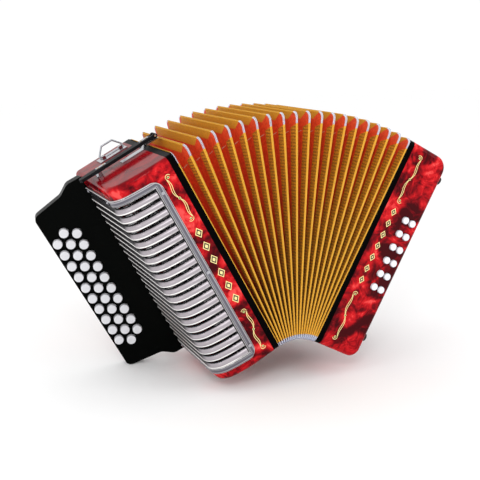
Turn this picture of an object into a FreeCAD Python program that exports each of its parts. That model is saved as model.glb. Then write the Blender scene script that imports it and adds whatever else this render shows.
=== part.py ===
import FreeCAD, Part
import math
import os

# Three-row button accordion, opened to a full fan. All sizes in millimetres.
#
# Three working frames are used:
#   treble frame: x towards the bellows from the treble casing's open face, y to the back, z up the casing
#   bass frame: x away from the bellows from the bass casing's open face, y to the back, z up the casing
#   board frame: s outwards along the fingerboard, w behind its front face, z up the casing
# The fan's apex is the line in which all the bellows folds would meet, below the two casings.

# ends
END_HEIGHT = 310.0
FRONT_DEPTH = 94.5
BACK_DEPTH = 101.0
WALL = 4.0
TREBLE_WIDTH = 82.0
BASS_WIDTH = 66.5
EDGE_ROUND = 7.0

# the treble front: a flat strip, a long shallow bow, then a tight corner into the end face
STRIP_WIDTH = 22.0
BOW_RADIUS = 125.0
CORNER_RADIUS = 26.0
BACK_CORNER_RADIUS = 8.0

# grille
GRILLE_LOW = 14.0
GRILLE_HIGH = 294.0
GRILLE_END_Y = 54.5
RIM_WIDTH = 9.0
RIM_THICKNESS = 3.0
RIM_ROUND = 1.4
RIM_CORNER_RADIUS = 14.0
LEDGE_WIDTH = 2.5
LEDGE_SUNK = 1.2
LEDGE_LAP = 1.0
LOUVRES = 21
# a louvre's outer surface: how far it stands out, and how high it is as a share of the louvres' pitch
LOUVRE_CURVE = ((2.1, 0.03), (2.75, 0.09), (2.9, 0.2), (2.4, 0.38), (1.2, 0.54), (-0.7, 0.68))
LOUVRE_THICKNESS = 0.9
LOUVRE_END_GAP = 1.2

# fingerboard
BOARD_SPLAY = 10.3
BOARD_FRONT_Y = 57.7
BOARD_REACH = 84.0
BOARD_THICKNESS = 17.5
BOARD_FRONT_PLATE = 4.0
BOARD_BACK_PLATE = 3.0
BOARD_END_WALL = 4.5
BOARD_ROOT = 8.0
BOARD_OUTLINE = (
    (-BOARD_ROOT, 8.0, 0.0),
    (16.0, 8.0, 12.0),
    (32.0, 21.0, 14.0),
    (BOARD_REACH, 28.0, 9.0),
    (BOARD_REACH, 291.0, 9.0),
    (38.0, 299.0, 14.0),
    (22.0, 309.5, 12.0),
    (-BOARD_ROOT, 309.5, 0.0),
)

# treble buttons: outer, middle and inner row
KEY_PITCH = 18.92
ROW_REACH = {"outer": 74.7, "middle": 59.5, "inner": 44.4}
ROW_COUNT = {"outer": 10, "middle": 11, "inner": 10}
ROW_TOP = {"outer": 243.8, "middle": 253.26, "inner": 243.8}
CAP_RADIUS = 6.6
CAP_PROUD = 6.0
CAP_SUNK = 0.8
CAP_EDGE = 1.4
CAP_HOLE_RADIUS = 7.5
STEM_RADIUS = 2.0
LEVER_WIDTH = 3.0
LEVER_OFFSET = {"outer": -5.0, "middle": -1.46, "inner": 1.0}
LEVER_TOP_W = 6.0
LEVER_THICKNESS = 3.5
AXLE_X = -72.0
AXLE_Y = 63.8
AXLE_RADIUS = 1.5
AXLE_HOLE_RADIUS = 1.55
HUB_RADIUS = 4.5
# the slot that the levers come out through: its sides from the axle, and its ends, also the board's hollow's
LEVER_SLOT = (-3.9, 9.1)
LEVER_SPAN = (40.0, 274.0)
ARM_X = -46.0
ARM_ELBOW_Y = 55.5
PALLET_Y = {"outer": -62.0, "middle": -28.0, "inner": 6.0}
PALLET_SIZE = (5.0, 26.0, 16.0)

# reed pans and reed blocks, one set behind each end
PAN_X = 24.0
PAN_THICKNESS = 6.0
PAN_MARGIN = 4.6
BLOCK_WIDTH = 24.0
BLOCK_REACH = 6.0
BLOCK_END = 30.0
BASS_BLOCK_REACH = 4.0
BASS_BLOCK_Y = (-24.0, 24.0)
BASS_BLOCK_END = 40.0
AIR_SLOT_HALF = (8.0, 5.0)

# bellows
FRAME_THICKNESS = 9.0
FRAME_BAR = 18.0
FRAME_CORNER = 8.0
FOLDS = 19
MIDDLE_FOLD = 10
FAN_ANGLE = 56.7
APEX_BELOW = 56.5
FOLD_DEPTH = 24.0
FOLD_INNER_RADIUS = 55.5
FOLD_OUTER_RADIUS = 367.5
FOLD_BACK_DEPTH = 90.0
FAN_BOW = 1.0
CARD_THICKNESS = 0.9
CARD_GAP = 0.03
RIDGE_THICKNESS = 1.8
RIDGE_DEPTH = 10.0

# bass buttons
BASS_PITCH = 20.56
BASS_TOP = 207.2
BASS_ROWS = 6
BASS_COLUMNS = {"front": 39.7, "rear": 52.4}
BASS_CAP_RADIUS = 5.0
BASS_CAP_HOLE_RADIUS = 5.6
BASS_CAP_PROUD = 3.4
BASS_CAP_SUNK = 2.5
BASS_CAP_EDGE = 1.2
BASS_STEM_RADIUS = 2.0
BASS_STEM_HOLE_RADIUS = 2.3
BASS_STEM_END_Y = -62.0
BASS_COLLAR_RADIUS = 6.0
BASS_GUIDE_Y = -72.0
BASS_GUIDE_THICKNESS = 3.0
BASS_CORNER_LOW = 15.0
BASS_CORNER_HIGH = 19.0

# fittings
SCREW_RADIUS = 2.2
SCREW_HEAD = 0.9
SCREW_SHANK = 1.5
FRONT_SCREW_INSET = 14.0
END_SCREW_Y = (-52.0, 46.5)
RING_WIRE = 1.25
RING_EYE = 1.35
RING_X = -27.5
RING_Y = 60.0
RING_RISE = 4.0
RING_BASE = 31.0
RING_TIP = 17.0
RING_HEIGHT = 15.0
RING_KNEE = 4.5
RING_LEAN = 8.0
RING_PLATE = 1.5
RING_PLATE_Y = (55.0, 80.0)
STRAP_PIVOT_X = 22.0
STRAP_PIVOT_Z = 318.2
STRAP_Y = 2.5
STRAP_LENGTH = 118.5
STRAP_WIDTH = 13.0
STRAP_THICKNESS = 4.2
STRAP_END_RADIUS = 3.2
FORK_DEPTH = 4.8
CLIP_LENGTH = 18.0
CLIP_THICKNESS = 1.0
TONGUE_WIDTH = 4.0
TONGUE_KNUCKLE = 2.4
STRAP_PIN = 1.5
ARM_BENDS = (-34.0, 0.0, 6.0)
ARM_HIGH_Z = 313.2
ARM_THICKNESS = 1.4
ARM_Y = (-6.5, 6.5)
STUD_FROM_END = 26.3
STUD_RADIUS = 4.5
BASS_STUD_X = 39.8
BASS_STUD_HEIGHT = 3.5
FOOT_RADIUS = 6.0
FOOT_HEIGHT = 5.5
FOOT_Y = (-81.0, 87.0)
FOOT_Z = (33.0, 281.0)
HAND_STRAP_WIDTH = 50.0
HAND_STRAP_REACH = 40.0
HAND_STRAP_THICKNESS = 3.5
HAND_STRAP_Z = (44.0, 268.0)
HAND_STRAP_FOOT = 16.0
HAND_STRAP_RISE = 46.0
HAND_STRAP_BENDS = (10.0, 30.0)
BRIDGE_LAP = 4.0
BRIDGE_LEG = 3.7
BRIDGE_THICKNESS = 2.0
BRIDGE_FROM_BEND = (4.0, 15.0)

HALF_FAN = FAN_ANGLE / 2


def vec(x, y, z):
    return FreeCAD.Vector(x, y, z)


def box(x0, x1, y0, y1, z0, z1):
    return Part.makeBox(x1 - x0, y1 - y0, z1 - z0, vec(x0, y0, z0))


def rod(start, end, radius):
    axis = end.sub(start)
    return Part.makeCylinder(radius, axis.Length, start, axis)


def rounded_wire(corners, put):
    """A closed wire through the corners (a, b, radius), each rounded, and placed by put(a, b)."""
    spans = []
    count = len(corners)
    for n in range(count):
        a, b, radius = corners[n]
        here = vec(a, b, 0)
        if radius == 0:
            spans.append((here, None, here))
            continue
        before = vec(corners[n - 1][0], corners[n - 1][1], 0).sub(here).normalize()
        after = vec(corners[(n + 1) % count][0], corners[(n + 1) % count][1], 0).sub(here).normalize()
        half = before.getAngle(after) / 2
        inward = before.add(after).normalize()
        reach = radius / math.tan(half)
        middle = here.add(inward * (radius / math.sin(half) - radius))
        spans.append((here.add(before * reach), middle, here.add(after * reach)))
    edges = []
    for n in range(count):
        start, middle, end = spans[n]
        if middle is not None:
            through = [put(point.x, point.y) for point in (start, middle, end)]
            edges.append(Part.Arc(*through).toShape())
        following = spans[(n + 1) % count][0]
        edges.append(Part.makeLine(put(end.x, end.y), put(following.x, following.y)))
    return Part.Wire(edges)


def slab(wire, along):
    return Part.Face(wire).extrude(along)


def edges_where(shape, test):
    return [edge for edge in shape.Edges if test(edge.BoundBox)]


def polyhedron(faces):
    """One solid from flat faces given as lists of points."""
    skins = [Part.Face(Part.makePolygon(points + points[:1])) for points in faces]
    shell = Part.Compound(skins)
    shell.sewShape()
    solid = Part.Solid(shell.Shells[0])
    if solid.Volume < 0:
        solid.reverse()
    return solid


# ---------------------------------------------------------------- treble plan outline


def bow_centre():
    return vec(-STRIP_WIDTH, -FRONT_DEPTH + BOW_RADIUS, 0)


def corner_centre():
    x = -TREBLE_WIDTH + CORNER_RADIUS
    run = x + STRIP_WIDTH
    rise = math.sqrt((BOW_RADIUS - CORNER_RADIUS) ** 2 - run**2)
    return vec(x, bow_centre().y - rise, 0)


def front_path(offset, start_x, end_y, z):
    """The edges from the flat strip round to the end face, outwards by offset from the casing's surface."""
    bow = bow_centre()
    corner = corner_centre()
    turn = math.atan2(corner.y - bow.y, corner.x - bow.x)
    quarter = -math.pi / 2

    def on(centre, radius, angle):
        return vec(centre.x + radius * math.cos(angle), centre.y + radius * math.sin(angle), z)

    bow_radius = BOW_RADIUS + offset
    corner_radius = CORNER_RADIUS + offset
    first = vec(start_x, -FRONT_DEPTH - offset, z)
    edges = []
    if start_x > bow.x:
        bow_start = on(bow, bow_radius, quarter)
        edges.append(Part.makeLine(first, bow_start))
        start_angle = quarter
    else:
        start_angle = -math.pi + math.acos((bow.x - start_x) / bow_radius)
        bow_start = on(bow, bow_radius, start_angle)
    bow_end = on(bow, bow_radius, turn)
    corner_end = vec(-TREBLE_WIDTH - offset, corner.y, z)
    edges.append(Part.Arc(bow_start, on(bow, bow_radius, (start_angle + turn) / 2), bow_end).toShape())
    corner_middle = on(corner, corner_radius, (turn - math.pi) / 2)
    edges.append(Part.Arc(bow_end, corner_middle, corner_end).toShape())
    edges.append(Part.makeLine(corner_end, vec(-TREBLE_WIDTH - offset, end_y, z)))
    return edges


def band_wire(inner, outer, start_x, end_y, z):
    """A closed band that follows the treble front between two offsets."""
    out = front_path(outer, start_x, end_y, z)
    back = front_path(inner, start_x, end_y, z)
    out_start = vec(out[0].Vertexes[0].X, out[0].Vertexes[0].Y, z)
    out_end = vec(-TREBLE_WIDTH - outer, end_y, z)
    back_start = vec(back[0].Vertexes[0].X, back[0].Vertexes[0].Y, z)
    back_end = vec(-TREBLE_WIDTH - inner, end_y, z)
    closing = [Part.makeLine(out_end, back_end), Part.makeLine(back_start, out_start)]
    return Part.Wire(Part.__sortEdges__(out + back + closing))


def front_band(inner, outer, start_x, end_y, low, high):
    return slab(band_wire(inner, outer, start_x, end_y, low), vec(0, 0, high - low))


def treble_plan(offset, open_x, low, high):
    """The treble casing's whole plan, inwards by a negative offset, from low to high."""
    back_radius = BACK_CORNER_RADIUS + offset
    end_x = -TREBLE_WIDTH - offset
    back_y = BACK_DEPTH + offset
    round_y = BACK_DEPTH - BACK_CORNER_RADIUS
    front = front_path(offset, open_x, round_y, low)
    round_x = -TREBLE_WIDTH + BACK_CORNER_RADIUS
    if back_radius > 0:
        slant = back_radius * math.sqrt(0.5)
        middle = vec(round_x - slant, round_y + slant, low)
        corner = [Part.Arc(vec(end_x, round_y, low), middle, vec(round_x, back_y, low)).toShape()]
    else:
        corner = [
            Part.makeLine(vec(end_x, round_y, low), vec(end_x, back_y, low)),
            Part.makeLine(vec(end_x, back_y, low), vec(round_x, back_y, low)),
        ]
    last = [
        Part.makeLine(vec(round_x, back_y, low), vec(open_x, back_y, low)),
        Part.makeLine(vec(open_x, back_y, low), vec(open_x, -FRONT_DEPTH - offset, low)),
    ]
    return slab(Part.Wire(front + corner + last), vec(0, 0, high - low))


# ---------------------------------------------------------------- board frame


def board(s, w, z):
    """A point of the board frame in the treble frame."""
    splay = math.radians(BOARD_SPLAY)
    x = -TREBLE_WIDTH - s * math.cos(splay) + w * math.sin(splay)
    y = BOARD_FRONT_Y + s * math.sin(splay) + w * math.cos(splay)
    return vec(x, y, z)


def board_box(s0, s1, w0, w1, z0, z1):
    base = [board(s0, w0, z0), board(s1, w0, z0), board(s1, w1, z0), board(s0, w1, z0)]
    return slab(Part.makePolygon(base + base[:1]), vec(0, 0, z1 - z0))


def row_buttons(row):
    return [ROW_TOP[row] - n * KEY_PITCH for n in range(ROW_COUNT[row])]


# ---------------------------------------------------------------- treble end


def window_band(inner, outer):
    """The casing's window behind the grille, between two offsets from the front."""
    low = GRILLE_LOW + RIM_WIDTH - LEDGE_LAP
    high = GRILLE_HIGH - RIM_WIDTH + LEDGE_LAP
    return front_band(inner, outer, -STRIP_WIDTH - RIM_WIDTH + LEDGE_LAP, GRILLE_END_Y, low, high)


def treble_casing():
    shell = treble_plan(0.0, 0.0, 0.0, END_HEIGHT)

    def rim_edge(b):
        level = b.ZLength < 0.01 and (b.ZMax < 0.01 or b.ZMin > END_HEIGHT - 0.01)
        return level and b.XMin < -0.01

    shell = shell.makeFillet(EDGE_ROUND, edges_where(shell, rim_edge))
    shell = shell.cut(treble_plan(-WALL, 1.0, WALL, END_HEIGHT - WALL))
    shell = shell.cut(window_band(-2 * WALL, WALL))
    slot_y = (AXLE_Y + LEVER_SLOT[0], AXLE_Y + LEVER_SLOT[1])
    return shell.cut(box(-TREBLE_WIDTH - 1, -TREBLE_WIDTH + WALL + 1, *slot_y, *LEVER_SPAN))


def standing_out(point):
    """How far a point stands out from the casing's front surface."""
    bow = bow_centre()
    corner = corner_centre()
    if point.x > bow.x:
        return -FRONT_DEPTH - point.y
    if point.y > corner.y:
        return -TREBLE_WIDTH - point.x
    flat = vec(point.x, point.y, 0)
    turn = math.atan2(corner.y - bow.y, corner.x - bow.x)
    if math.atan2(point.y - bow.y, point.x - bow.x) > turn:
        return flat.distanceToPoint(bow) - BOW_RADIUS
    return flat.distanceToPoint(corner) - CORNER_RADIUS


def rim_bar():
    """The rounded frame round three sides of the grille."""
    rim = front_band(0.0, RIM_THICKNESS, -STRIP_WIDTH, GRILLE_END_Y, GRILLE_LOW, GRILLE_HIGH)
    inside_x = -STRIP_WIDTH - RIM_WIDTH
    inside = (GRILLE_LOW + RIM_WIDTH, GRILLE_HIGH - RIM_WIDTH)
    rim = rim.cut(front_band(-1.0, RIM_THICKNESS + 1, inside_x, GRILLE_END_Y + 1, *inside))

    def front_corner(b):
        return b.XLength < 0.01 and b.ZLength < 0.01 and b.XMin > -STRIP_WIDTH - 0.01

    rim = rim.makeFillet(RIM_CORNER_RADIUS, edges_where(rim, front_corner))
    long_edges = []
    for edge in rim.Edges:
        ends = [edge.valueAt(edge.FirstParameter), edge.valueAt(edge.LastParameter)]
        ends.append(edge.valueAt((edge.FirstParameter + edge.LastParameter) / 2))
        outer = all(abs(standing_out(point) - RIM_THICKNESS) < 0.02 for point in ends)
        upright = edge.BoundBox.ZLength > 0.1 and edge.BoundBox.XLength < 0.01
        beside = upright and edge.BoundBox.XMin < inside_x - 0.1
        if outer and not beside and edge.BoundBox.YMin < GRILLE_END_Y - 0.1:
            long_edges.append(edge)
    return rim.makeFillet(RIM_ROUND, long_edges)


def louvre(low, pitch, start_x):
    """One curved slat that slants outwards to its lower edge, swept round the front."""
    spine = Part.Wire(front_path(0.0, start_x, GRILLE_END_Y, low))
    foot = spine.Edges[0].valueAt(spine.Edges[0].FirstParameter)
    outward = foot.sub(vec(bow_centre().x, bow_centre().y, low)).normalize()

    def at(out, high):
        return foot.add(outward * out).add(vec(0, 0, high * pitch))

    front = [at(out, high) for out, high in LOUVRE_CURVE]
    back = [at(out - LOUVRE_THICKNESS, high + 0.02) for out, high in LOUVRE_CURVE]
    front_curve = Part.BSplineCurve()
    front_curve.interpolate(front)
    back_curve = Part.BSplineCurve()
    back_curve.interpolate(back[::-1])
    profile = Part.Wire(
        [
            front_curve.toShape(),
            Part.makeLine(front[-1], back[-1]),
            back_curve.toShape(),
            Part.makeLine(back[0], front[0]),
        ]
    )
    return spine.makePipeShell([profile], True, False)


def treble_grille():
    """The rim, a sunk ledge inside it, and the louvres that run from the ledge to the fingerboard."""
    inside_x = -STRIP_WIDTH - RIM_WIDTH
    low = GRILLE_LOW + RIM_WIDTH
    high = GRILLE_HIGH - RIM_WIDTH
    opening_end = GRILLE_END_Y - LEDGE_WIDTH
    opening = front_band(-WALL, 1.0, inside_x - LEDGE_WIDTH, opening_end, low, high)
    grille = rim_bar().fuse(window_band(-LEDGE_SUNK, 0.0).cut(opening))
    pitch = (high - low) / LOUVRES
    for n in range(LOUVRES):
        grille = grille.fuse(louvre(low + n * pitch, pitch, inside_x - LOUVRE_END_GAP))
    return grille


def screw(point, outward):
    """A domed screw's head, and its shank driven into the rim."""
    head = rod(point, point.add(outward * SCREW_HEAD), SCREW_RADIUS)
    return head.fuse(rod(point.sub(outward * SCREW_SHANK), point, SCREW_RADIUS / 2))


def ring_lugs(base_z, up):
    """The plate and two eyes of a shoulder-strap ring, on the casing's top (up 1) or bottom (up -1)."""
    plate_x = RING_BASE / 2 + 6
    plate = box(RING_X - plate_x, RING_X + plate_x, *RING_PLATE_Y, 0, RING_PLATE)
    solids = [plate]
    for side in (-1, 1):
        inner = RING_X + side * (RING_BASE / 2 - 4.5)
        outer = RING_X + side * (RING_BASE / 2 + 0.5)
        lug = box(min(inner, outer), max(inner, outer), RING_Y - 3, RING_Y + 3, RING_PLATE, RING_RISE + 3)
        eye = rod(vec(inner - 9, RING_Y, RING_RISE), vec(outer + 9, RING_Y, RING_RISE), RING_EYE)
        solids.append(lug.cut(eye))
    group = Part.makeCompound(solids)
    if up < 0:
        group = group.mirror(vec(0, 0, 0), vec(0, 0, 1))
    group.translate(vec(0, 0, base_z))
    return group.Solids


def shoulder_ring(base_z, up, lean_angle):
    """A bent wire ring, hinged on its straight base, leaning back by an angle."""
    lean = math.radians(lean_angle)

    def at(x, rise):
        return vec(RING_X + x, RING_Y + rise * math.sin(lean), RING_RISE + rise * math.cos(lean))

    half = RING_BASE / 2 + 2.2
    corners = [
        at(-half, 0),
        at(-half, RING_KNEE),
        at(-RING_TIP / 2, RING_HEIGHT),
        at(RING_TIP / 2, RING_HEIGHT),
        at(half, RING_KNEE),
        at(half, 0),
    ]
    ring = rod(corners[-1], corners[0], RING_WIRE)
    for n in range(5):
        ring = ring.fuse(rod(corners[n], corners[n + 1], RING_WIRE))
    for corner in corners:
        ring = ring.fuse(Part.makeSphere(RING_WIRE, corner))
    if up < 0:
        ring = ring.mirror(vec(0, 0, 0), vec(0, 0, 1))
    ring.translate(vec(0, 0, base_z))
    return ring


def strap_anchor():
    """The steel arm that carries the closing strap's pivot over the bellows frame, and the strap's rest."""
    start_x, foot_x, raised_x = ARM_BENDS
    end_x = STRAP_PIVOT_X + 2
    low_top = END_HEIGHT + ARM_THICKNESS
    high_top = ARM_HIGH_Z + ARM_THICKNESS
    outline = (
        (start_x, END_HEIGHT),
        (foot_x, END_HEIGHT),
        (raised_x, ARM_HIGH_Z),
        (end_x, ARM_HIGH_Z),
        (end_x, high_top),
        (raised_x - 1, high_top),
        (foot_x - 1, low_top),
        (start_x, low_top),
    )
    front, back = ARM_Y
    profile = [vec(x, front, z) for x, z in outline]
    arm = slab(Part.makePolygon(profile + profile[:1]), vec(0, back - front, 0))
    tongue_y = STRAP_Y - TONGUE_WIDTH / 2
    tongue_end = tongue_y + TONGUE_WIDTH
    tongue_x = (STRAP_PIVOT_X - TONGUE_KNUCKLE + 0.4, STRAP_PIVOT_X + TONGUE_KNUCKLE - 0.4)
    tongue = box(*tongue_x, tongue_y, tongue_end, ARM_HIGH_Z, STRAP_PIVOT_Z)
    near = vec(STRAP_PIVOT_X, tongue_y, STRAP_PIVOT_Z)
    knuckle = rod(near, vec(STRAP_PIVOT_X, tongue_end, STRAP_PIVOT_Z), TONGUE_KNUCKLE)
    pin_reach = STRAP_WIDTH / 2 + 0.4
    pin = rod(
        vec(STRAP_PIVOT_X, STRAP_Y - pin_reach, STRAP_PIVOT_Z),
        vec(STRAP_PIVOT_X, STRAP_Y + pin_reach, STRAP_PIVOT_Z),
        STRAP_PIN,
    )
    arm = arm.fuse(tongue).fuse(knuckle).fuse(pin)
    rest_x = STRAP_PIVOT_X + STRAP_END_RADIUS - STRAP_LENGTH + STUD_FROM_END
    rest_top = STRAP_PIVOT_Z - STRAP_THICKNESS / 2 - 0.3
    rest = rod(vec(rest_x, STRAP_Y, END_HEIGHT), vec(rest_x, STRAP_Y, rest_top), STUD_RADIUS)
    return [arm, rest]


def treble_fittings():
    solids = []
    front = -FRONT_DEPTH - RIM_THICKNESS
    side = -TREBLE_WIDTH - RIM_THICKNESS
    low = GRILLE_LOW + RIM_WIDTH / 2
    high = GRILLE_HIGH - RIM_WIDTH / 2
    middle = (low + high) / 2
    for z in (low + FRONT_SCREW_INSET, middle, high - FRONT_SCREW_INSET):
        solids.append(screw(vec(-STRIP_WIDTH - RIM_WIDTH / 2, front, z), vec(0, -1, 0)))
    for z in (low, high):
        for y in END_SCREW_Y:
            solids.append(screw(vec(side, y, z), vec(-1, 0, 0)))
    solids += ring_lugs(END_HEIGHT, 1)
    solids += ring_lugs(0.0, -1)
    solids += strap_anchor()
    return Part.makeCompound(solids)


def key_axle():
    return rod(vec(AXLE_X, AXLE_Y, WALL), vec(AXLE_X, AXLE_Y, END_HEIGHT - WALL), AXLE_RADIUS)


def pan_blank(x0, x1):
    return box(x0, x1, -FRONT_DEPTH + PAN_MARGIN, BACK_DEPTH - PAN_MARGIN, WALL, END_HEIGHT - WALL)


def reed_blocks():
    blocks = []
    for row in PALLET_Y:
        y = PALLET_Y[row]
        half = BLOCK_WIDTH / 2
        blocks.append(box(-PAN_X, BLOCK_REACH, y - half, y + half, BLOCK_END, END_HEIGHT - BLOCK_END))
    return blocks


def treble_reed_pan():
    """The board that the pallets close, with a slot under each pallet, its reed blocks and the key axle."""
    pan = pan_blank(-PAN_X - PAN_THICKNESS, -PAN_X)
    slots = []
    long, tall = AIR_SLOT_HALF
    for row in ROW_COUNT:
        y = PALLET_Y[row]
        for button_z in row_buttons(row):
            z = button_z + LEVER_OFFSET[row]
            through_x = (-PAN_X - PAN_THICKNESS - 1, -PAN_X + 1)
            slots.append(box(*through_x, y - long, y + long, z - tall, z + tall))
    return Part.makeCompound([pan.cut(Part.makeCompound(slots)), key_axle()] + reed_blocks())


def fingerboard():
    through = board(0, BOARD_THICKNESS, 0).sub(board(0, 0, 0))
    blank = slab(rounded_wire(BOARD_OUTLINE, lambda s, z: board(s, 0, z)), through)
    casing_side = box(-TREBLE_WIDTH, 0, 0, 2 * BACK_DEPTH, -10, END_HEIGHT + 10)
    blank = blank.cut(casing_side)
    hollow_w = (BOARD_FRONT_PLATE, BOARD_THICKNESS - BOARD_BACK_PLATE)
    hollow = board_box(-BOARD_ROOT - 1, BOARD_REACH - BOARD_END_WALL, *hollow_w, *LEVER_SPAN)
    blank = blank.cut(hollow)
    holes = []
    for row in ROW_COUNT:
        for z in row_buttons(row):
            reach = ROW_REACH[row]
            holes.append(rod(board(reach, -1, z), board(reach, BOARD_FRONT_PLATE + 1, z), CAP_HOLE_RADIUS))
    return blank.cut(Part.makeCompound(holes))


def treble_key(row, z):
    """One key: cap, lever with its stem and its arm to the pallet, and pallet."""
    reach = ROW_REACH[row]
    lever_z = z + LEVER_OFFSET[row]
    low = lever_z - LEVER_WIDTH / 2
    high = lever_z + LEVER_WIDTH / 2
    cap = rod(board(reach, CAP_SUNK, z), board(reach, -CAP_PROUD, z), CAP_RADIUS)
    top = board(reach, -CAP_PROUD, z)

    def top_edge(b):
        return b.Center.sub(top).Length < 0.1 * CAP_RADIUS and b.DiagonalLength < 3 * CAP_RADIUS

    cap = cap.makeFillet(CAP_EDGE, edges_where(cap, top_edge))
    bottom_w = LEVER_TOP_W + LEVER_THICKNESS
    axle_s = (-TREBLE_WIDTH - AXLE_X) * math.cos(math.radians(BOARD_SPLAY))
    tip = reach + LEVER_WIDTH
    lever = board_box(axle_s, tip, LEVER_TOP_W, bottom_w, low, high)
    if row == "outer":
        lever = lever.fuse(board_box(reach - LEVER_WIDTH, tip, LEVER_TOP_W, bottom_w, low, z + STEM_RADIUS))
    lever = lever.fuse(rod(board(reach, CAP_SUNK, z), board(reach, bottom_w, z), STEM_RADIUS))
    lever = lever.fuse(rod(vec(AXLE_X, AXLE_Y, low), vec(AXLE_X, AXLE_Y, high), HUB_RADIUS))
    half = LEVER_THICKNESS / 2
    elbow = [
        vec(AXLE_X - 1, AXLE_Y - half, low),
        vec(ARM_X - half, ARM_ELBOW_Y, low),
        vec(ARM_X + half, ARM_ELBOW_Y + 2, low),
        vec(AXLE_X + 1, AXLE_Y + half, low),
    ]
    lever = lever.fuse(slab(Part.makePolygon(elbow + elbow[:1]), vec(0, 0, LEVER_WIDTH)))
    y = PALLET_Y[row]
    foot = (y - LEVER_WIDTH, y + LEVER_WIDTH)
    lever = lever.fuse(box(ARM_X - half, ARM_X + half, foot[0], ARM_ELBOW_Y + 2, low, high))
    pan_face = -PAN_X - PAN_THICKNESS
    thick, long, tall = PALLET_SIZE
    lever = lever.fuse(box(ARM_X + half, pan_face - thick, *foot, low, high))
    lever = lever.removeSplitter()
    lever = lever.cut(rod(vec(AXLE_X, AXLE_Y, low - 1), vec(AXLE_X, AXLE_Y, high + 1), AXLE_HOLE_RADIUS))
    pallet_z = (lever_z - tall / 2, lever_z + tall / 2)
    pallet = box(pan_face - thick, pan_face, y - long / 2, y + long / 2, *pallet_z)
    return Part.makeCompound([cap, lever, pallet])


def bellows_strap():
    """The closing strap, folded back over the casing, forked round its pivot, with a steel clip."""
    end_x = STRAP_PIVOT_X + STRAP_END_RADIUS - STRAP_LENGTH
    half = STRAP_WIDTH / 2
    top = STRAP_PIVOT_Z + STRAP_THICKNESS / 2
    bottom = STRAP_PIVOT_Z - STRAP_THICKNESS / 2
    strap = box(end_x, STRAP_PIVOT_X, STRAP_Y - half, STRAP_Y + half, bottom, top)

    def end_edge(b):
        return b.XLength < 0.01 and b.YLength < 0.01 and b.XMin < end_x + 0.01

    strap = strap.makeFillet(half - 0.3, edges_where(strap, end_edge))
    near = vec(STRAP_PIVOT_X, STRAP_Y - half, STRAP_PIVOT_Z)
    far = vec(STRAP_PIVOT_X, STRAP_Y + half, STRAP_PIVOT_Z)
    strap = strap.fuse(rod(near, far, STRAP_END_RADIUS))
    gap = TONGUE_WIDTH / 2 + 0.3
    fork_x = (STRAP_PIVOT_X - FORK_DEPTH, STRAP_PIVOT_X + FORK_DEPTH)
    fork = box(*fork_x, STRAP_Y - gap, STRAP_Y + gap, bottom - 2, top + 2)
    strap = strap.cut(fork)
    bore = rod(near.sub(vec(0, 1, 0)), far.add(vec(0, 1, 0)), STRAP_PIN + 0.05)
    strap = strap.cut(bore)
    clip_x = end_x + STUD_FROM_END
    clip_half = CLIP_LENGTH / 2
    clip_y = (STRAP_Y - half - CLIP_THICKNESS, STRAP_Y - half)
    clip = box(clip_x - clip_half, clip_x + clip_half, *clip_y, bottom, top - 1)
    return Part.makeCompound([strap, clip])


# ---------------------------------------------------------------- bellows


def bellows_frame():
    """The wooden frame that closes one end of the bellows, from x 0 to its thickness."""
    corners = (
        (-FRONT_DEPTH, 0, FRAME_CORNER),
        (BACK_DEPTH, 0, FRAME_CORNER),
        (BACK_DEPTH, END_HEIGHT, FRAME_CORNER),
        (-FRONT_DEPTH, END_HEIGHT, FRAME_CORNER),
    )
    frame = slab(rounded_wire(corners, lambda y, z: vec(0, y, z)), vec(FRAME_THICKNESS, 0, 0))
    front = -FRONT_DEPTH + FRAME_BAR
    back = BACK_DEPTH - FRAME_BAR
    return frame.cut(box(-1, FRAME_THICKNESS + 1, front, back, FRAME_BAR, END_HEIGHT - FRAME_BAR))


def fold_angle(fold):
    """A ridge's angle from the treble frame; the treble side's folds stand a little wider open."""
    return FAN_ANGLE * fold / FOLDS + FAN_BOW * math.sin(math.pi * fold / FOLDS)


def fan_point(angle, aside, radius, y):
    """A point of the fan: out from the apex at an angle from the treble frame, then aside."""
    turn = math.radians(angle)
    x = radius * math.sin(turn) + aside * math.cos(turn)
    z = radius * math.cos(turn) - aside * math.sin(turn)
    return vec(x, y, z)


def fold_loop(angle, aside, inset):
    low = FOLD_INNER_RADIUS + inset
    high = FOLD_OUTER_RADIUS - inset
    front = -FRONT_DEPTH + inset
    back = FOLD_BACK_DEPTH - inset
    corners = ((low, front), (low, back), (high, back), (high, front))
    return [fan_point(angle, aside, radius, y) for radius, y in corners]


def card(fold, side):
    """One card of a fold: a ring that slopes from the fold's ridge to the valley on one side of it."""
    ridge = fold_angle(fold)
    valley = fold_angle(fold + side / 2)
    near = CARD_GAP if fold != MIDDLE_FOLD else RIDGE_THICKNESS / 2 + CARD_GAP
    far = near + CARD_THICKNESS
    loops = [
        fold_loop(ridge, side * near, 0.0),
        fold_loop(valley, -side * (CARD_GAP + CARD_THICKNESS), FOLD_DEPTH),
        fold_loop(valley, -side * CARD_GAP, FOLD_DEPTH),
        fold_loop(ridge, side * far, 0.0),
    ]
    faces = []
    for n in range(4):
        m = (n + 1) % 4
        for outer, inner in ((loops[0], loops[1]), (loops[3], loops[2])):
            if n % 2:
                faces.append([outer[n], outer[m], inner[m]])
                faces.append([outer[n], inner[m], inner[n]])
            else:
                faces.append([outer[n], outer[m], inner[n]])
                faces.append([outer[m], inner[m], inner[n]])
        faces.append([loops[0][n], loops[0][m], loops[3][m], loops[3][n]])
        faces.append([loops[1][n], loops[1][m], loops[2][m], loops[2][n]])
    return polyhedron(faces)


def bellows_half_treble():
    cards = [card(0, 1)]
    for fold in range(1, MIDDLE_FOLD):
        cards += [card(fold, -1), card(fold, 1)]
    cards.append(card(MIDDLE_FOLD, -1))
    return Part.makeCompound(cards)


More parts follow.
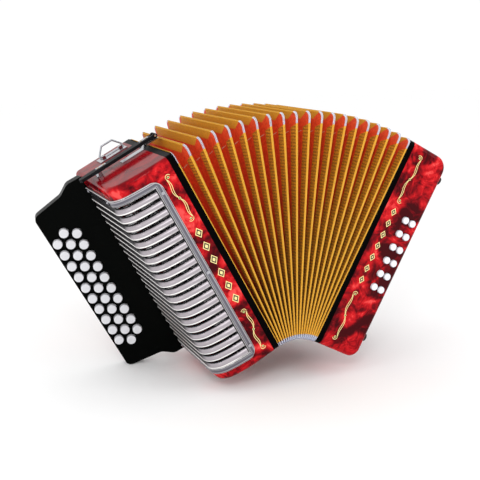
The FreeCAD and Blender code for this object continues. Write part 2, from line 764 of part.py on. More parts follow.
def bellows_half_bass():
    cards = [card(MIDDLE_FOLD, 1)]
    for fold in range(MIDDLE_FOLD + 1, FOLDS):
        cards += [card(fold, -1), card(fold, 1)]
    cards.append(card(FOLDS, -1))
    return Part.makeCompound(cards)


def bellows_middle_fold():
    """The stiff ring inside the middle fold's ridge."""
    outer = fold_loop(0, 0, 0.0)
    inner = fold_loop(0, 0, RIDGE_DEPTH)
    half = RIDGE_THICKNESS / 2
    ring = slab(Part.makePolygon(outer + outer[:1]), vec(RIDGE_THICKNESS, 0, 0))
    ring = ring.cut(slab(Part.makePolygon(inner + inner[:1]), vec(RIDGE_THICKNESS, 0, 0)))
    ring.translate(vec(-half, 0, 0))
    ring.rotate(vec(0, 0, 0), vec(0, 1, 0), fold_angle(MIDDLE_FOLD))
    return ring


# ---------------------------------------------------------------- bass end


def bass_outline(inset):
    low = BASS_CORNER_LOW - inset
    high = BASS_CORNER_HIGH - inset
    open_x = 0.0 if inset == 0 else -1.0
    return (
        (open_x, inset, 0.0),
        (BASS_WIDTH - inset, inset, low),
        (BASS_WIDTH - inset, END_HEIGHT - inset, high),
        (open_x, END_HEIGHT - inset, 0.0),
    )


def bass_blank(inset):
    front = -FRONT_DEPTH + inset
    wire = rounded_wire(bass_outline(inset), lambda x, z: vec(x, front, z))
    return slab(wire, vec(0, BACK_DEPTH - inset - front, 0))


def bass_buttons():
    for column in BASS_COLUMNS:
        for n in range(BASS_ROWS):
            yield column, n, BASS_COLUMNS[column], BASS_TOP - n * BASS_PITCH


def bass_casing():
    shell = bass_blank(0.0)

    def face_edge(b):
        on_face = abs(b.YMin + FRONT_DEPTH) < 0.01 or abs(b.YMin - BACK_DEPTH) < 0.01
        return b.YLength < 0.01 and on_face and b.XMax > 0.01

    shell = shell.makeFillet(EDGE_ROUND, edges_where(shell, face_edge))
    shell = shell.cut(bass_blank(WALL))
    holes = []
    for column, n, x, z in bass_buttons():
        inside = vec(x, -FRONT_DEPTH + WALL + 1, z)
        holes.append(rod(vec(x, -FRONT_DEPTH - 1, z), inside, BASS_CAP_HOLE_RADIUS))
    return shell.cut(Part.makeCompound(holes))


def bass_reed_pan():
    """The bass pan with two reed blocks, and the strip that guides the bass buttons' stems."""
    pan = pan_blank(PAN_X, PAN_X + PAN_THICKNESS)
    solids = [pan]
    half = BLOCK_WIDTH / 2
    for y in BASS_BLOCK_Y:
        block_z = (BASS_BLOCK_END, END_HEIGHT - BASS_BLOCK_END)
        solids.append(box(-BASS_BLOCK_REACH, PAN_X, y - half, y + half, *block_z))
    low = BASS_TOP - BASS_ROWS * BASS_PITCH
    high = BASS_TOP + BASS_PITCH
    end_x = BASS_WIDTH - WALL
    guide = box(PAN_X + PAN_THICKNESS, end_x, BASS_GUIDE_Y, BASS_GUIDE_Y + BASS_GUIDE_THICKNESS, low, high)
    holes = []
    for column, n, x, z in bass_buttons():
        through = vec(x, BASS_GUIDE_Y + BASS_GUIDE_THICKNESS + 1, z)
        holes.append(rod(vec(x, BASS_GUIDE_Y - 1, z), through, BASS_STEM_HOLE_RADIUS))
    solids.append(guide.cut(Part.makeCompound(holes)))
    return Part.makeCompound(solids)


def bass_key(x, z):
    """One bass button: cap, stem and the collar that stops it against the casing's inside."""
    under = -FRONT_DEPTH + BASS_CAP_SUNK
    tip = -FRONT_DEPTH - BASS_CAP_PROUD
    cap = rod(vec(x, under, z), vec(x, tip, z), BASS_CAP_RADIUS)

    def tip_edge(b):
        return b.YLength < 0.01 and b.YMin < tip + 0.01

    cap = cap.makeFillet(BASS_CAP_EDGE, edges_where(cap, tip_edge))
    stem = rod(vec(x, under, z), vec(x, BASS_STEM_END_Y, z), BASS_STEM_RADIUS)
    collar_y = -FRONT_DEPTH + WALL + 0.4
    stem = stem.fuse(rod(vec(x, collar_y, z), vec(x, collar_y + 2, z), BASS_COLLAR_RADIUS))
    return Part.makeCompound([cap, stem])


def hand_strap():
    """The leather strap that the left hand goes through, bowed out from the bass end, with flat ends."""
    thick = HAND_STRAP_THICKNESS
    low, high = HAND_STRAP_Z
    foot = HAND_STRAP_FOOT
    rise = HAND_STRAP_RISE
    tight, wide = HAND_STRAP_BENDS
    x0 = BASS_WIDTH
    x1 = BASS_WIDTH + HAND_STRAP_REACH
    # the strap's inside bends meet a little further along than the outside ones, which keeps it even
    foot_shift = 0.75 * thick
    top_shift = 0.63 * thick
    corners = (
        (x0, low - foot, 0.0),
        (x0 + thick, low - foot, 0.0),
        (x0 + thick, low, tight),
        (x1, low + rise, wide),
        (x1, high - rise, wide),
        (x0 + thick, high, tight),
        (x0 + thick, high + foot, 0.0),
        (x0, high + foot, 0.0),
        (x0, high - foot_shift, tight + thick),
        (x1 - thick, high - rise - top_shift, wide - thick),
        (x1 - thick, low + rise + top_shift, wide - thick),
        (x0, low + foot_shift, tight + thick),
    )
    half = HAND_STRAP_WIDTH / 2
    return slab(rounded_wire(corners, lambda x, z: vec(x, -half, z)), vec(0, 2 * half, 0))


def bass_fittings():
    """Four rubber feet, the two clamps of the hand strap, and the closing strap's stud on the top."""
    solids = []
    for y in FOOT_Y:
        for z in FOOT_Z:
            foot = rod(vec(BASS_WIDTH, y, z), vec(BASS_WIDTH + FOOT_HEIGHT, y, z), FOOT_RADIUS)
            solids.append(foot)
    low, high = HAND_STRAP_Z
    half = HAND_STRAP_WIDTH / 2 + BRIDGE_LAP
    face = BASS_WIDTH + HAND_STRAP_THICKNESS
    near, far = BRIDGE_FROM_BEND
    for z0, z1 in ((low - far, low - near), (high + near, high + far)):
        bridge = box(face, face + BRIDGE_THICKNESS, -half, half, z0, z1)
        for side in (-1, 1):
            edge = side * half
            end = side * (half - BRIDGE_LEG)
            bridge = bridge.fuse(box(BASS_WIDTH, face, min(edge, end), max(edge, end), z0, z1))
        solids.append(bridge)
    stud = vec(BASS_STUD_X, STRAP_Y, END_HEIGHT)
    solids.append(rod(stud, stud.add(vec(0, 0, BASS_STUD_HEIGHT)), STUD_RADIUS))
    return Part.makeCompound(solids)


# ---------------------------------------------------------------- placing and writing


def from_treble(shape):
    """Treble frame to fan frame: the bellows frame's face goes through the apex, then leans to the left."""
    shape = shape.copy()
    shape.translate(vec(-FRAME_THICKNESS, 0, APEX_BELOW))
    shape.rotate(vec(0, 0, 0), vec(0, 1, 0), -HALF_FAN)
    return shape


def from_bass(shape):
    shape = shape.copy()
    shape.translate(vec(FRAME_THICKNESS, 0, APEX_BELOW))
    shape.rotate(vec(0, 0, 0), vec(0, 1, 0), HALF_FAN)
    return shape


def from_fan(shape):
    shape = shape.copy()
    shape.rotate(vec(0, 0, 0), vec(0, 1, 0), -HALF_FAN)
    return shape


def nodes():
    made = {}
    made["treble_casing"] = from_treble(treble_casing())
    made["treble_grille"] = from_treble(treble_grille())
    made["treble_fittings"] = from_treble(treble_fittings())
    made["treble_reed_pan"] = from_treble(treble_reed_pan())
    made["fingerboard"] = from_treble(fingerboard())
    made["bellows_frame_treble"] = from_treble(bellows_frame())
    for row in ROW_COUNT:
        for n, z in enumerate(row_buttons(row)):
            made[f"treble_key_{row}_{n + 1:02d}"] = from_treble(treble_key(row, z))
    made["shoulder_ring_upper"] = from_treble(shoulder_ring(END_HEIGHT, 1, RING_LEAN))
    made["shoulder_ring_lower"] = from_treble(shoulder_ring(0.0, -1, 0.0))
    made["bellows_strap"] = from_treble(bellows_strap())
    made["bellows_half_treble"] = from_fan(bellows_half_treble())
    made["bellows_middle_fold"] = from_fan(bellows_middle_fold())
    made["bellows_half_bass"] = from_fan(bellows_half_bass())
    bass_frame = bellows_frame()
    bass_frame.translate(vec(-FRAME_THICKNESS, 0, 0))
    made["bellows_frame_bass"] = from_bass(bass_frame)
    made["bass_casing"] = from_bass(bass_casing())
    made["bass_reed_pan"] = from_bass(bass_reed_pan())
    for column, n, x, z in bass_buttons():
        made[f"bass_key_{column}_{n + 1}"] = from_bass(bass_key(x, z))
    made["hand_strap"] = from_bass(hand_strap())
    made["bass_fittings"] = from_bass(bass_fittings())
    return made


made = nodes()
bounds = Part.makeCompound(list(made.values())).BoundBox
shift = vec(-bounds.Center.x, -bounds.Center.y, -bounds.ZMin)
os.makedirs("parts", exist_ok=True)
for name, shape in made.items():
    shape.translate(shift)
    shape.exportStep(f"parts/{name}.step")
    sound = all(solid.isValid() and solid.Volume > 0 for solid in shape.Solids)
    print(name, len(shape.Solids), "solids", round(shape.Volume), "mm3", "sound" if sound else "NOT SOUND")
print("apex at", [round(value, 4) for value in shift])
print("size", round(bounds.XLength, 1), round(bounds.YLength, 1), round(bounds.ZLength, 1))
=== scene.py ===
import math

import bmesh
import bpy
from mathutils import Matrix, Vector


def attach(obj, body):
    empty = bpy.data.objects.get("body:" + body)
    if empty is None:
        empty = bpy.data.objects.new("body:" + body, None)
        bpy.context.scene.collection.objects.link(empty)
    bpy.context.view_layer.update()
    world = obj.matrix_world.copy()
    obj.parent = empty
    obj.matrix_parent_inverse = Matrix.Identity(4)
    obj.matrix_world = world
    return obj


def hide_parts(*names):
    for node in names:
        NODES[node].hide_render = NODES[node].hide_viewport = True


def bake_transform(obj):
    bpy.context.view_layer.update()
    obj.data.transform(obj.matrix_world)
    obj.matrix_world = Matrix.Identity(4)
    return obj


# The looks of a button accordion with its bellows fanned open.
# Sizes are in millimetres in three working frames, and are placed in the row frame in metres:
#   treble frame: x towards the bellows from the treble casing's open face, y to the back, z up the casing
#   bass frame: x away from the bellows from the bass casing's open face, y to the back, z up the casing
#   fan frame: angle from the treble frame's bellows face, radius from the line where all folds would meet

MM = 0.001
HALF_FAN = 28.35
FAN_ANGLE = 2 * HALF_FAN
APEX = Vector((0.0404467, -0.0011855, 0.0059286))
APEX_BELOW = 56.5
FRAME_THICKNESS = 9.0
FRONT_DEPTH = 94.5
END_HEIGHT = 310.0
TREBLE_WIDTH = 82.0
BASS_WIDTH = 66.5

# bellows
FOLDS = 19
MIDDLE_FOLD = 10
FAN_BOW = 1.0
FOLD_DEPTH = 24.0
INNER_RADIUS = 55.5
OUTER_RADIUS = 367.5
FOLD_HALF_DEPTH = 92.25
FOLD_CENTRE_Y = -2.25
RIDGE_CORNER = 8.0
VALLEY_CHAMFER = 5.0
WALL_CAP = 7.0
LEVEL_CAP = 1.0
LEVEL_STATION = 40.0
GUSSET_INSET = (13.0, 21.5)
GUSSET_DROP = (13.5, 21.5)
GUSSET_WIDTH = 1.1
GUSSET_STAND_OFF = 0.35
TAPE_BAND = 4.2
# the places along a ridge, from the fan's centre line, where one piece of a fold ends and the next starts
SEGMENTS = (55.5, 105.0, 155.0, 205.0, 258.0, 313.0, 367.5)
# a fold's crown: distance in from the ridge, and how far the surface stands off the flank's middle there
CROWN = ((0.0, 0.45), (0.4, 0.95), (1.5, 1.0), (1.9, 0.45), (10.5, 0.45), (10.9, 0.1), (24.0, 0.1))
CROWN_BANDS = ("edge", "edge", "edge", "tape", "tape", "card")

# grille
STRIP_WIDTH = 22.0
BOW_RADIUS = 125.0
CORNER_RADIUS = 26.0
GRILLE_INSIDE_X = -31.0
GRILLE_INSIDE = (23.0, 285.0)
RIM_THICKNESS = 3.0
RIM_WIDTH = 9.0
RIM_EDGE_LOW = 1.7
LOUVRES = 21
# a louvre's painted highlight along its lower lip, as a share of the louvre's height, round the bend and on
# the end face
LIP_SHARE = 0.17
END_LIP_SHARE = 0.28
LIP_SOFT = 0.03
# the painted highlight on the lips fades near the rim, and the end face lies round the bend from the
# louvres' fronts
LIP_HIGHLIGHT_FADE_X = (-41.0, 0.0)
LIP_HIGHLIGHT_FADE_SOFT = 12.0
END_FACE_Y = (-60.0, 120.0)
END_FACE_SOFT = 14.0

# buttons and feet
KEY_CAP_DEPTH = 0.9
BASS_CAP_DEPTH = 2.6
FEET_OUT_FROM_Y = 60.0

# painted shade: a darker maroon patch round the bass buttons, in the bass frame, and a darker foot below it
PATCH_X = (32.0, 91.0)
PATCH_Z = (93.0, 229.0)
DARK_FOOT = (-60.0, 70.0)

# closing strap, and the place and length of the two plates on it
STRAP_Y = 2.5
STRAP_TOP = 320.3
STRAP_RIB = 2.6
STRAP_PLATES = ((7.0, 14.0), (-60.0, 15.0))
PLATE_WIDTH = 7.0
PLATE_LIFT = 0.6
RIVET_RADIUS = 1.5
RIVET_LIFT = 1.1

# the tone of the painted shade on the treble casing's top face, on the red celluloid's scale from maroon to
# bright red
TOP_SHADE_TONE = 0.71

# fingerboard
BOARD_SPLAY = math.radians(10.3)
BOARD_FRONT_Y = 57.7

# ornaments
VINE_GAP = 1.3
VINE_SWING = 1.6
VINE_WIDTH = 0.75
VINE_HOOK = 3.7
VINE_DOT = 1.7
DOT_RING = 0.55
LINE_LIFT = 0.18
# a lozenge's layers: how much narrower and shorter than its outline, how high, and which of its colours
LOZENGE_LAYERS = ((0.0, 0.0, 0.16, 0), (2.6, 3.4, 0.22, 2), (6.4, 8.6, 0.28, 0))

# camera, in the treble frame
CAMERA_PLACE = (-232.8, -1094.8, 589.8)
CAMERA_RIGHT = (0.8028, -0.4001, -0.4421)
CAMERA_UP = (0.5473, 0.2004, 0.8126)
CAMERA_AHEAD = (0.2365, 0.8943, -0.3798)
CAMERA_ANGLE = 31.0

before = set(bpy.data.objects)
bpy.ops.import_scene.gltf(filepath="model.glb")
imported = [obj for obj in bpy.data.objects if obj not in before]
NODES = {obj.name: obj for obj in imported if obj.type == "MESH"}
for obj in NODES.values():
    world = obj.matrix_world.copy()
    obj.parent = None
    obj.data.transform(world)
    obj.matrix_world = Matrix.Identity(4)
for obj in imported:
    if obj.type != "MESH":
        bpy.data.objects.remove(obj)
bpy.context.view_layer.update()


# ---------------------------------------------------------------- frames


def leaned(x, y, z, degrees):
    """A point of a frame that stands on the fan's centre line and leans to the right by degrees."""
    turn = math.radians(degrees)
    moved = Vector((x * math.cos(turn) + z * math.sin(turn), y, -x * math.sin(turn) + z * math.cos(turn)))
    return APEX + moved * MM


def treble(x, y, z):
    return leaned(x - FRAME_THICKNESS, y, z + APEX_BELOW, -HALF_FAN)


def bass(x, y, z):
    return leaned(x + FRAME_THICKNESS, y, z + APEX_BELOW, HALF_FAN)


def fan(angle, aside, radius, y):
    return leaned(aside, y, radius, angle - HALF_FAN)


def in_end(point, side):
    """A point of the row frame in the treble frame (side -1) or the bass frame (side 1), in millimetres."""
    p = (point - APEX) / MM
    turn = math.radians(HALF_FAN) * side
    x = p.x * math.cos(turn) - p.z * math.sin(turn)
    z = p.x * math.sin(turn) + p.z * math.cos(turn)
    return Vector((x - side * FRAME_THICKNESS, p.y, z - APEX_BELOW))


def in_treble(point):
    return in_end(point, -1)


def in_bass(point):
    return in_end(point, 1)


# ---------------------------------------------------------------- materials


def material(name, colour, rough, metallic=0.0, coat=0.0, shine=0.5):
    """A plain material; shine is the strength of its reflection."""
    mat = bpy.data.materials.new(name)
    mat.use_nodes = True
    shader = mat.node_tree.nodes["Principled BSDF"]
    shader.inputs["Base Color"].default_value = (*colour, 1)
    shader.inputs["Roughness"].default_value = rough
    shader.inputs["Metallic"].default_value = metallic
    shader.inputs["Coat Weight"].default_value = coat
    shader.inputs["Coat Roughness"].default_value = 0.06
    shader.inputs["Specular IOR Level"].default_value = shine
    return mat


def node(mat, kind, **inputs):
    made = mat.node_tree.nodes.new(kind)
    for name, value in inputs.items():
        made.inputs[name.replace("_", " ")].default_value = value
    return made


def link(mat, source, target):
    mat.node_tree.links.new(source, target)


def shader_of(mat):
    return mat.node_tree.nodes["Principled BSDF"]


def colour_by(mat, factor, stops):
    """Gives a material a colour that runs through the stops, each a (value, colour), as factor rises."""
    made = mat.node_tree.nodes.new("ShaderNodeValToRGB")
    elements = made.color_ramp.elements
    while len(elements) < len(stops):
        elements.new(0.5)
    for element, (place, colour) in zip(elements, stops):
        element.position = place
        element.color = (*colour, 1)
    link(mat, factor, made.inputs["Fac"])
    link(mat, made.outputs["Color"], shader_of(mat).inputs["Base Color"])


def roughen(mat, height, strength, distance):
    """Gives a material's surface a fine relief."""
    bump = node(mat, "ShaderNodeBump", Strength=strength, Distance=distance)
    link(mat, height, bump.inputs["Height"])
    link(mat, bump.outputs["Normal"], shader_of(mat).inputs["Normal"])


def place_of(mat):
    """A point's place on a piece at rest."""
    return mat.node_tree.nodes.new("ShaderNodeTexCoord").outputs["Object"]


def soften_edges(mat, radius):
    """Catches the light along a part's edges as a small rounding does."""
    bevel = mat.node_tree.nodes.new("ShaderNodeBevel")
    bevel.inputs["Radius"].default_value = radius
    link(mat, bevel.outputs["Normal"], shader_of(mat).inputs["Normal"])
    return mat


def chain(mat, operation, first, second):
    """A maths node on two values, each a number or an output."""
    made = mat.node_tree.nodes.new("ShaderNodeMath")
    made.operation = operation
    for socket, value in zip(made.inputs, (first, second)):
        if isinstance(value, (int, float)):
            socket.default_value = value
        else:
            link(mat, value, socket)
    return made.outputs[0]


def between(mat, value, low, high, soft):
    """1 between low and high, falling to 0 over a soft width outside them."""
    made = []
    for limits in ((low - soft, low), (high + soft, high)):
        step = node(mat, "ShaderNodeMapRange")
        step.inputs["From Min"].default_value = limits[0]
        step.inputs["From Max"].default_value = limits[1]
        link(mat, value, step.inputs["Value"])
        made.append(step.outputs["Result"])
    return chain(mat, "MULTIPLY", *made)


def end_place(mat, side):
    """A point's x and z in the treble frame (side -1) or the bass frame (side 1)."""
    split = node(mat, "ShaderNodeSeparateXYZ")
    link(mat, place_of(mat), split.inputs[0])
    x = chain(mat, "SUBTRACT", split.outputs["X"], APEX.x)
    z = chain(mat, "SUBTRACT", split.outputs["Z"], APEX.z)
    turn = math.radians(HALF_FAN) * side
    across = chain(mat, "MULTIPLY", z, -math.sin(turn) / MM)
    along = chain(mat, "ADD", chain(mat, "MULTIPLY", x, math.cos(turn) / MM), across)
    along = chain(mat, "SUBTRACT", along, side * FRAME_THICKNESS)
    lifted = chain(mat, "MULTIPLY", x, math.sin(turn) / MM)
    up = chain(mat, "ADD", chain(mat, "MULTIPLY", z, math.cos(turn) / MM), lifted)
    return along, chain(mat, "SUBTRACT", up, APEX_BELOW)


def depth_place(mat):
    """How far back a point lies, in millimetres."""
    split = node(mat, "ShaderNodeSeparateXYZ")
    link(mat, place_of(mat), split.inputs[0])
    return chain(mat, "MULTIPLY", chain(mat, "SUBTRACT", split.outputs["Y"], APEX.y), 1 / MM)


def bass_painted_shade(mat):
    """1 on a patch of painted shade round the bass buttons, and less on a darker foot of painted shade
    below it.
    """
    along, up = end_place(mat, 1)
    wide = between(mat, along, *PATCH_X, 12.0)
    tall = between(mat, up, *PATCH_Z, 10.0)
    foot = between(mat, up, *DARK_FOOT, 50.0)
    return chain(mat, "MAXIMUM", chain(mat, "MULTIPLY", wide, tall), chain(mat, "MULTIPLY", foot, 0.45))


def top_face(mat):
    """1 on the treble casing's top face, fading over its rounded edge; there the red is evened to a painted
    shade.
    """
    up = end_place(mat, -1)[1]
    return between(mat, up, END_HEIGHT - 0.5, END_HEIGHT + 50.0, 6.0)


def louvre_chrome_painted_light():
    """Greyish chrome with a painted highlight along the louvres' lower lips round the bend, and a painted
    dark reflection on the end face.
    """
    mat = material("louvre_chrome_painted_light", (0.38, 0.36, 0.385), 0.34, 0.45)
    along, up = end_place(mat, -1)
    low, high = GRILLE_INSIDE
    from_low = chain(mat, "SUBTRACT", up, low)
    share = chain(mat, "FRACT", chain(mat, "DIVIDE", from_low, (high - low) / LOUVRES), 0.0)
    # painted highlight along each louvre's lower lip, fading near the rim
    bead = between(mat, share, 0.0, LIP_SHARE, LIP_SOFT)
    by_rim = chain(mat, "MULTIPLY", between(mat, along, *LIP_HIGHLIGHT_FADE_X, LIP_HIGHLIGHT_FADE_SOFT), 0.75)
    bead = chain(mat, "MULTIPLY", bead, chain(mat, "SUBTRACT", 1.0, by_rim))
    on_end = between(mat, depth_place(mat), *END_FACE_Y, END_FACE_SOFT)
    # painted highlight on the lips of the end face
    end_lip = chain(mat, "MULTIPLY", on_end, between(mat, share, 0.0, END_LIP_SHARE, LIP_SOFT))
    bead = chain(mat, "MAXIMUM", bead, end_lip)
    # painted dark reflection of the fingerboard on the end face, between the lips
    end_face_dark_reflection = chain(mat, "MULTIPLY", chain(mat, "MULTIPLY", on_end, 0.5), chain(mat, "SUBTRACT", 1.0, bead))
    tone = chain(mat, "SUBTRACT", chain(mat, "ADD", chain(mat, "MULTIPLY", bead, 0.5), 0.5), end_face_dark_reflection)
    stops = (
        (0.0, (0.03, 0.028, 0.03)),
        (0.5, (0.37, 0.335, 0.36)),
        (1.0, (0.95, 0.93, 0.91)),
    )
    colour_by(mat, tone, stops)
    metal = chain(mat, "SUBTRACT", 0.45, chain(mat, "MULTIPLY", bead, 0.4))
    link(mat, metal, shader_of(mat).inputs["Metallic"])
    return mat


def rim_chrome_painted_lines():
    """Chrome with painted highlights and painted shade as light and dark lines along the rim, standing in
    for its rolled profile.
    """
    mat = material("rim_chrome_painted_lines", (0.15, 0.155, 0.18), 0.2, 0.9)
    along, up = end_place(mat, -1)
    low, high = GRILLE_INSIDE
    beyond = chain(mat, "MAXIMUM", chain(mat, "SUBTRACT", up, high), chain(mat, "SUBTRACT", low, up))
    off = chain(mat, "MAXIMUM", chain(mat, "SUBTRACT", along, GRILLE_INSIDE_X), beyond)
    share = chain(mat, "DIVIDE", off, RIM_WIDTH)
    stops = (
        (0.0, (0.09, 0.09, 0.10)),
        (0.12, (0.09, 0.09, 0.10)),
        (0.22, (0.34, 0.33, 0.36)),
        (0.34, (0.17, 0.165, 0.19)),
        (0.62, (0.11, 0.105, 0.13)),
        (0.70, (0.38, 0.37, 0.40)),
        (0.80, (0.40, 0.38, 0.41)),
        (0.88, (0.04, 0.04, 0.05)),
        (1.0, (0.30, 0.29, 0.32)),
    )
    colour_by(mat, share, stops)
    return mat


def pearl_red(name, lift, shade=None, top_shade_mask=None):
    """Red celluloid with maroon clouds and bright flares.

    It is darker where the shade mask is 1, a painted shade, and a nearly plain darker red where the
    top-face mask is 1, also a painted shade.
    """
    mat = material(name, (0.4, 0.01, 0.02), 0.12, shine=0.07)
    place = place_of(mat)
    clouds = node(mat, "ShaderNodeTexNoise", Scale=22.0, Detail=2.0, Roughness=0.5, Distortion=1.2)
    link(mat, place, clouds.inputs["Vector"])
    flares = node(mat, "ShaderNodeTexNoise", Scale=50.0, Detail=4.0, Roughness=0.62, Distortion=2.4)
    link(mat, place, flares.inputs["Vector"])
    mixed = chain(mat, "MULTIPLY", flares.outputs["Fac"], 0.55)
    mixed = chain(mat, "ADD", chain(mat, "ADD", mixed, clouds.outputs["Fac"]), lift)
    if shade:
        # painted shade: darker red where the shade mask is 1
        mixed = chain(mat, "SUBTRACT", mixed, chain(mat, "MULTIPLY", shade(mat), 0.13))
    # painted shade: the top face evened towards a plain darker red
    if top_shade_mask:
        shade_step = chain(mat, "MULTIPLY", chain(mat, "SUBTRACT", TOP_SHADE_TONE, mixed), 0.8)
        mixed = chain(mat, "ADD", mixed, chain(mat, "MULTIPLY", top_shade_mask(mat), shade_step))
    stops = (
        (0.62, (0.05, 0.0006, 0.0025)),
        (TOP_SHADE_TONE, (0.15, 0.0015, 0.005)),
        (0.79, (0.36, 0.004, 0.008)),
        (0.88, (0.60, 0.012, 0.016)),
        (0.99, (0.82, 0.075, 0.070)),
    )
    colour_by(mat, mixed, stops)
    return mat


def woven_tape(name, dark, light):
    """Cloth tape with bands across it, evenly spaced outwards from the fan's centre line."""
    mat = material(name, light, 0.75)
    place = place_of(mat)
    flat = node(mat, "ShaderNodeVectorMath")
    flat.operation = "MULTIPLY_ADD"
    link(mat, place, flat.inputs[0])
    flat.inputs[1].default_value = (1, 0, 1)
    flat.inputs[2].default_value = (-APEX.x, 0, -APEX.z)
    length = node(mat, "ShaderNodeVectorMath")
    length.operation = "LENGTH"
    link(mat, flat.outputs[0], length.inputs[0])
    turns = chain(mat, "MULTIPLY", length.outputs["Value"], 2 * math.pi / (TAPE_BAND * MM))
    wave = chain(mat, "SINE", turns, 0.0)
    weave = node(mat, "ShaderNodeTexNoise", Scale=700.0, Detail=2.0)
    link(mat, place, weave.inputs["Vector"])
    mixed = chain(mat, "ADD", chain(mat, "MULTIPLY", wave, 0.12), weave.outputs["Fac"])
    colour_by(mat, mixed, ((0.36, dark), (0.66, light)))
    roughen(mat, mixed, 0.25, 0.0003)
    return mat


def grained(name, dark, light, scale, rough, shine=0.5):
    """A surface with a fine grain in two tones."""
    mat = material(name, light, rough, shine=shine)
    grain = node(mat, "ShaderNodeTexNoise", Scale=scale, Detail=4.0)
    link(mat, place_of(mat), grain.inputs["Vector"])
    colour_by(mat, grain.outputs["Fac"], ((0.35, dark), (0.65, light)))
    roughen(mat, grain.outputs["Fac"], 0.2, 0.0004)
    return mat


def black_with_painted_ribs():
    """Black rubber whose ribs along the closing strap are painted as darker and lighter stripes, a painted
    shade and highlight.
    """
    mat = material("black_with_painted_ribs", (0.006, 0.006, 0.007), 0.45, shine=0.06)
    turns = chain(mat, "MULTIPLY", depth_place(mat), 2 * math.pi / STRAP_RIB)
    # painted highlight and painted shade as stripes along the ribs
    rib = chain(mat, "SINE", turns, 0.0)
    colour_by(mat, rib, ((0.0, (0.0015, 0.0015, 0.0017)), (0.9, (0.022, 0.022, 0.026))))
    return mat


RED = pearl_red("pearl_red", 0.03, top_shade_mask=top_face)
BASS_RED = pearl_red("pearl_red_bass", 0.02, shade=bass_painted_shade)
CHROME = louvre_chrome_painted_light()
RIM_PAINTED_LINES = rim_chrome_painted_lines()
# painted highlight: the rim's rounded edges in a bright, barely metallic grey
RIM_EDGE_HIGHLIGHT = material("rim_edge_painted_highlight", (0.56, 0.55, 0.55), 0.3, 0.1)
FITTING_CHROME = material("fitting_chrome", (0.42, 0.42, 0.45), 0.15, 1.0)
RIVET = material("rivet_brass", (0.62, 0.50, 0.36), 0.25, 1.0)
LEDGE = material("ledge_shadow", (0.012, 0.012, 0.014), 0.5, shine=0.2)
STEEL = material("steel", (0.40, 0.41, 0.44), 0.25, 1.0)
# steel corner caps, partly painted highlight: a pale bluish colour with less metal than the other steel
CORNER_STEEL_SHEEN = material("corner_steel_painted_sheen", (0.74, 0.79, 0.92), 0.25, 0.5)
BLACK = soften_edges(material("black_lacquer", (0.0012, 0.0015, 0.0013), 0.25, shine=0.02), 0.0015)
FRAME_BLACK = material("frame_black", (0.001, 0.001, 0.0012), 0.3, shine=0.015)
RIBBED = black_with_painted_ribs()
RUBBER = material("rubber", (0.006, 0.006, 0.007), 0.6, shine=0.2)
PEARL = material("pearl_white", (0.68, 0.68, 0.71), 0.2, coat=0.3)
BASS_PEARL = material("bass_pearl_white", (0.78, 0.78, 0.84), 0.2, coat=0.3)
LEVER = material("lever_metal", (0.45, 0.45, 0.46), 0.35, 1.0)
# painted shade: the treble reed pan behind the grille in near black
INSIDE = material("painted_shade_inside", (0.006, 0.005, 0.005), 0.8, shine=0.1)
WOOD = grained("pan_wood", (0.36, 0.20, 0.09), (0.52, 0.32, 0.16), 60.0, 0.55)
LEATHER = grained("black_leather", (0.006, 0.005, 0.005), (0.016, 0.015, 0.014), 500.0, 0.5, shine=0.15)
EDGE = material("ridge_binding", (0.88, 0.455, 0.035), 0.5)
TAPE = woven_tape("woven_tape", (0.31, 0.13, 0.004), (0.76, 0.35, 0.012))
TOP_TAPE = grained("ochre_tape", (0.60, 0.29, 0.010), (0.74, 0.37, 0.012), 500.0, 0.7)
CARD = grained("card_red", (0.68, 0.060, 0.012), (0.88, 0.095, 0.018), 300.0, 0.6)
GUSSET = material("gusset_cloth", (0.72, 0.42, 0.28), 0.6)
TAN = grained("tan_leather", (0.24, 0.11, 0.04), (0.40, 0.20, 0.08), 400.0, 0.6)
GOLD = material("gold_line", (0.95, 0.78, 0.32), 0.4)
GREEN = material("green_dot", (0.01, 0.20, 0.05), 0.3)
INK = material("black_ink", (0.006, 0.006, 0.006), 0.3)


# ---------------------------------------------------------------- painting the frame's own nodes


def paint(name, *choices):
    """Materials for a node: each polygon takes the first choice whose test its centre passes."""
    mesh = NODES[name].data
    mesh.materials.clear()
    for mat, test in choices:
        mesh.materials.append(mat)
    for polygon in mesh.polygons:
        for n, (mat, test) in enumerate(choices):
            if test is None or test(polygon.center):
                polygon.material_index = n
                break


def board_depth(point):
    """How far a point lies behind the fingerboard's front."""
    p = in_treble(point)
    return (p.x + TREBLE_WIDTH) * math.sin(BOARD_SPLAY) + (p.y - BOARD_FRONT_Y) * math.cos(BOARD_SPLAY)


def is_key_cap(point):
    p = in_treble(point)
    return p.x < -TREBLE_WIDTH and board_depth(point) < KEY_CAP_DEPTH


def standing_out(p):
    """How far a point of the treble frame stands out from the casing's bowed front."""
    bow = Vector((-STRIP_WIDTH, BOW_RADIUS - FRONT_DEPTH))
    x = CORNER_RADIUS - TREBLE_WIDTH
    corner = Vector((x, bow.y - math.sqrt((BOW_RADIUS - CORNER_RADIUS) ** 2 - (x - bow.x) ** 2)))
    if p.x > bow.x:
        return -FRONT_DEPTH - p.y
    if p.y > corner.y:
        return -TREBLE_WIDTH - p.x
    here = Vector((p.x, p.y))
    turn = math.atan2(corner.y - bow.y, corner.x - bow.x)
    if math.atan2(p.y - bow.y, p.x - bow.x) > turn:
        return (here - bow).length - BOW_RADIUS
    return (here - corner).length - CORNER_RADIUS


def on_rim(p):
    """Whether a point of the treble frame lies outside the grille's opening."""
    return p.x > GRILLE_INSIDE_X or not GRILLE_INSIDE[0] < p.z < GRILLE_INSIDE[1]


def is_rim_face(point):
    p = in_treble(point)
    return on_rim(p) and standing_out(p) > RIM_THICKNESS - 0.2


